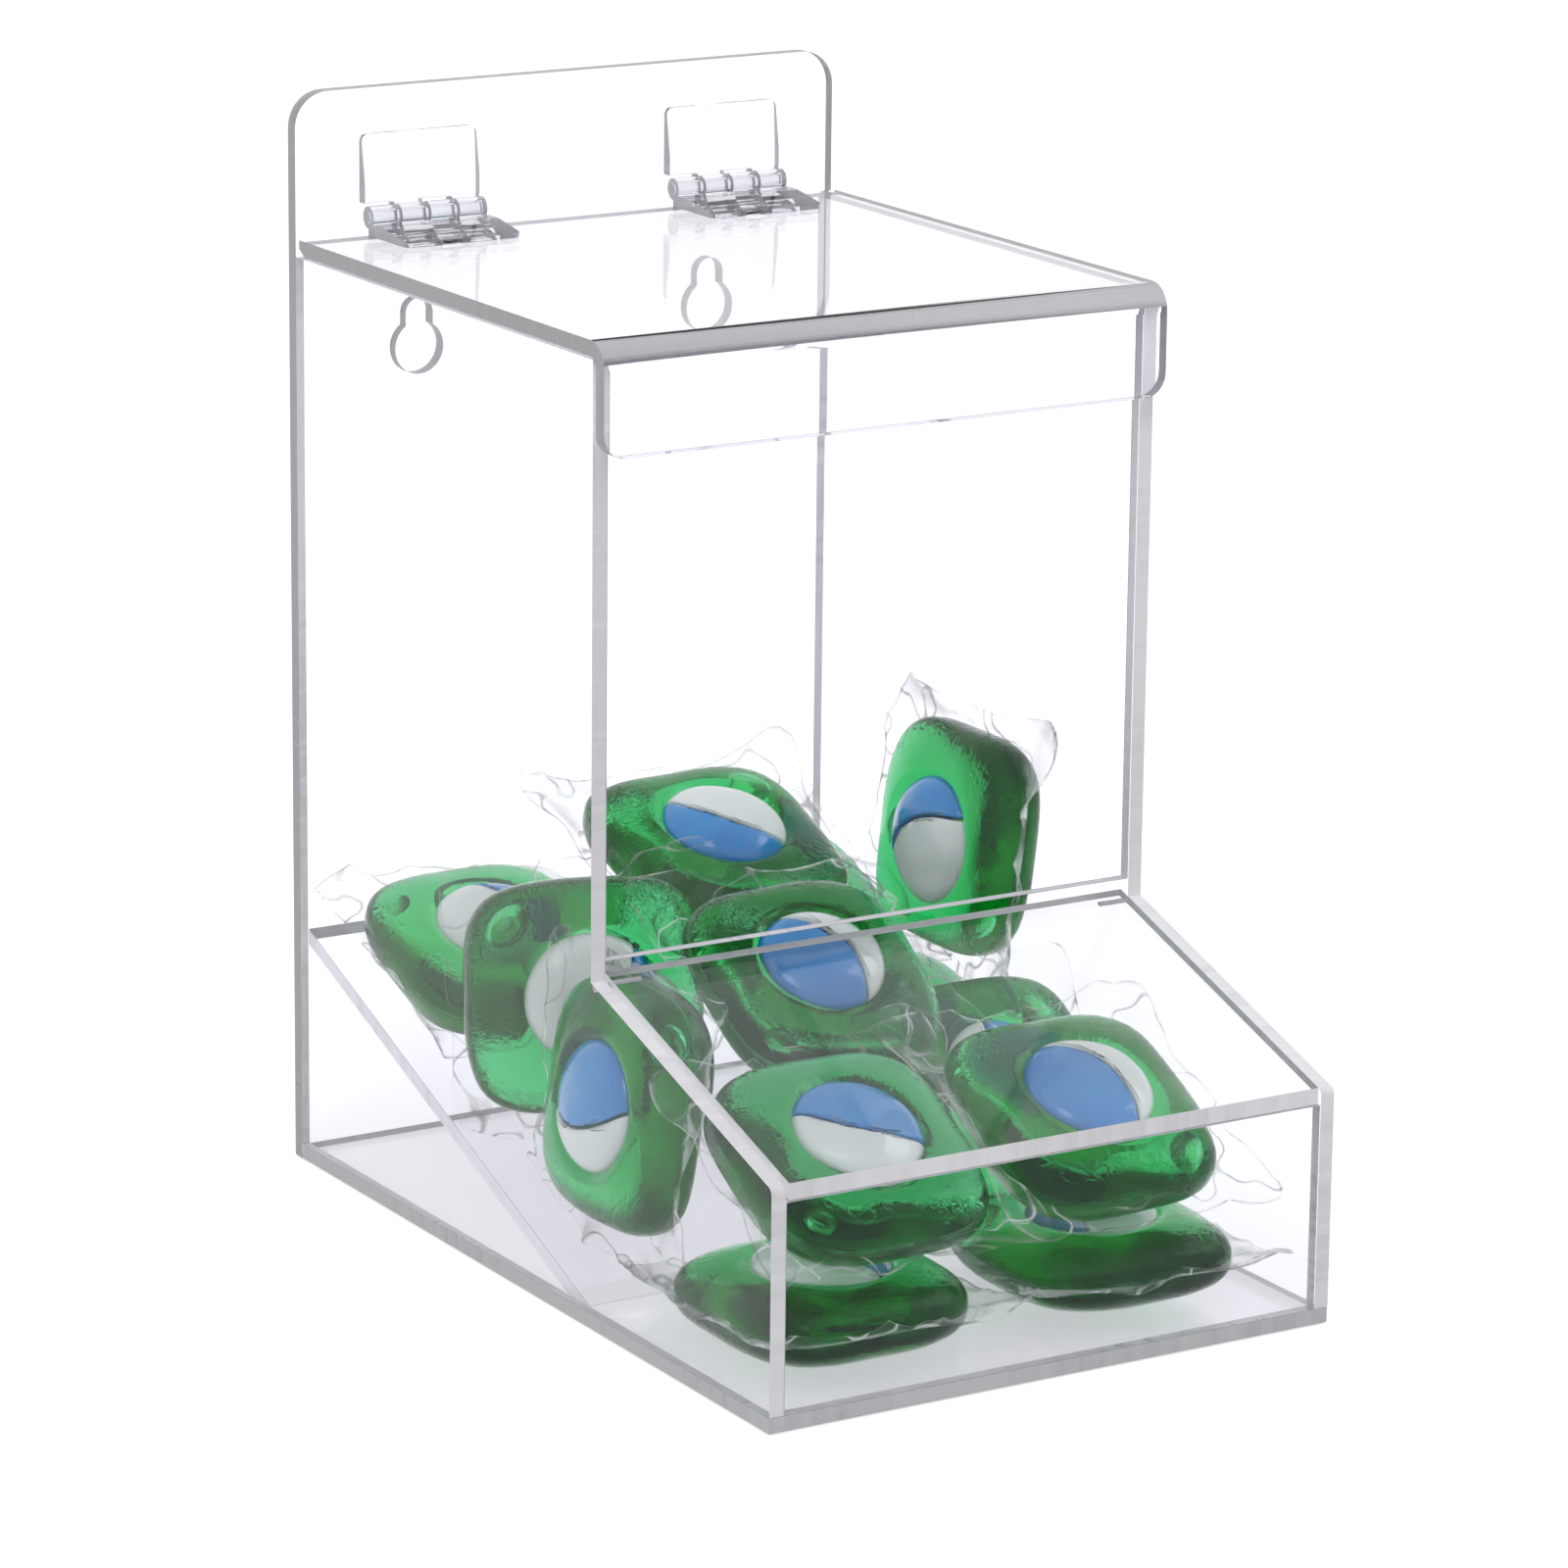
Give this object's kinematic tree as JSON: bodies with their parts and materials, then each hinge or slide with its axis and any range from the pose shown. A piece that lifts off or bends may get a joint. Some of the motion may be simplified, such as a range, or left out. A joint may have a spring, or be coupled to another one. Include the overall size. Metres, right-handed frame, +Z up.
{
  "type": "laundry pod container",
  "caption": "Clear wall-hung dispenser box with a hinged lid, an inner ramp and a hinged scoop flap, holding single-dose laundry pods.",
  "frame": {"origin": "on the ground under the middle of the box's overall footprint", "axes": "+X to the right seen from the front, -Y out of the front, +Y into the wall, +Z up"},
  "size_m": [0.12, 0.181, 0.212],
  "materials": {
    "clear_sheet": "clear polished acrylic",
    "hinge_plastic": "clear moulded plastic",
    "hinge_pin": "clear rod",
    "pivot_pin": "drawn wire",
    "pod_gel": "translucent gel in clear film"
  },
  "bodies": {
    "case": {"back_panel": "clear_sheet", "base_panel": "clear_sheet", "left_side_panel": "clear_sheet", "right_side_panel": "clear_sheet", "front_panel": "clear_sheet", "scoop_front_panel": "clear_sheet", "ramp_panel": "clear_sheet", "left_hinge_wall_leaf": "hinge_plastic", "right_hinge_wall_leaf": "hinge_plastic", "left_hinge_pin": "hinge_pin", "right_hinge_pin": "hinge_pin", "pod_front_left_low": "pod_gel", "pod_front_right_low": "pod_gel", "pod_front_left": "pod_gel", "pod_front_right": "pod_gel", "pod_left_wall": "pod_gel", "pod_ramp_left": "pod_gel", "pod_ramp_right": "pod_gel", "pod_ramp_low_right": "pod_gel", "pod_leaning_right": "pod_gel", "pod_leaning_left": "pod_gel", "pod_middle": "pod_gel", "pod_right_wall": "pod_gel", "pod_top": "pod_gel"},
    "lid_group": {"lid": "clear_sheet", "left_hinge_lid_leaf": "hinge_plastic", "right_hinge_lid_leaf": "hinge_plastic"},
    "flap_group": {"scoop_flap": "clear_sheet", "flap_pin_left": "pivot_pin", "flap_pin_right": "pivot_pin"}
  },
  "joints": [
    {"name": "lid_hinge", "type": "hinge", "parent": "case", "child": "lid_group", "pos_m": [0, 0.084, 0.1875], "axis": [-1, 0, 0], "range_deg": [0, 105]},
    {"name": "flap_hinge", "type": "hinge", "parent": "case", "child": "flap_group", "pos_m": [0, -0.02759, 0.06496], "axis": [-1, 0, 0], "range_deg": [0, 92]}
  ]
}
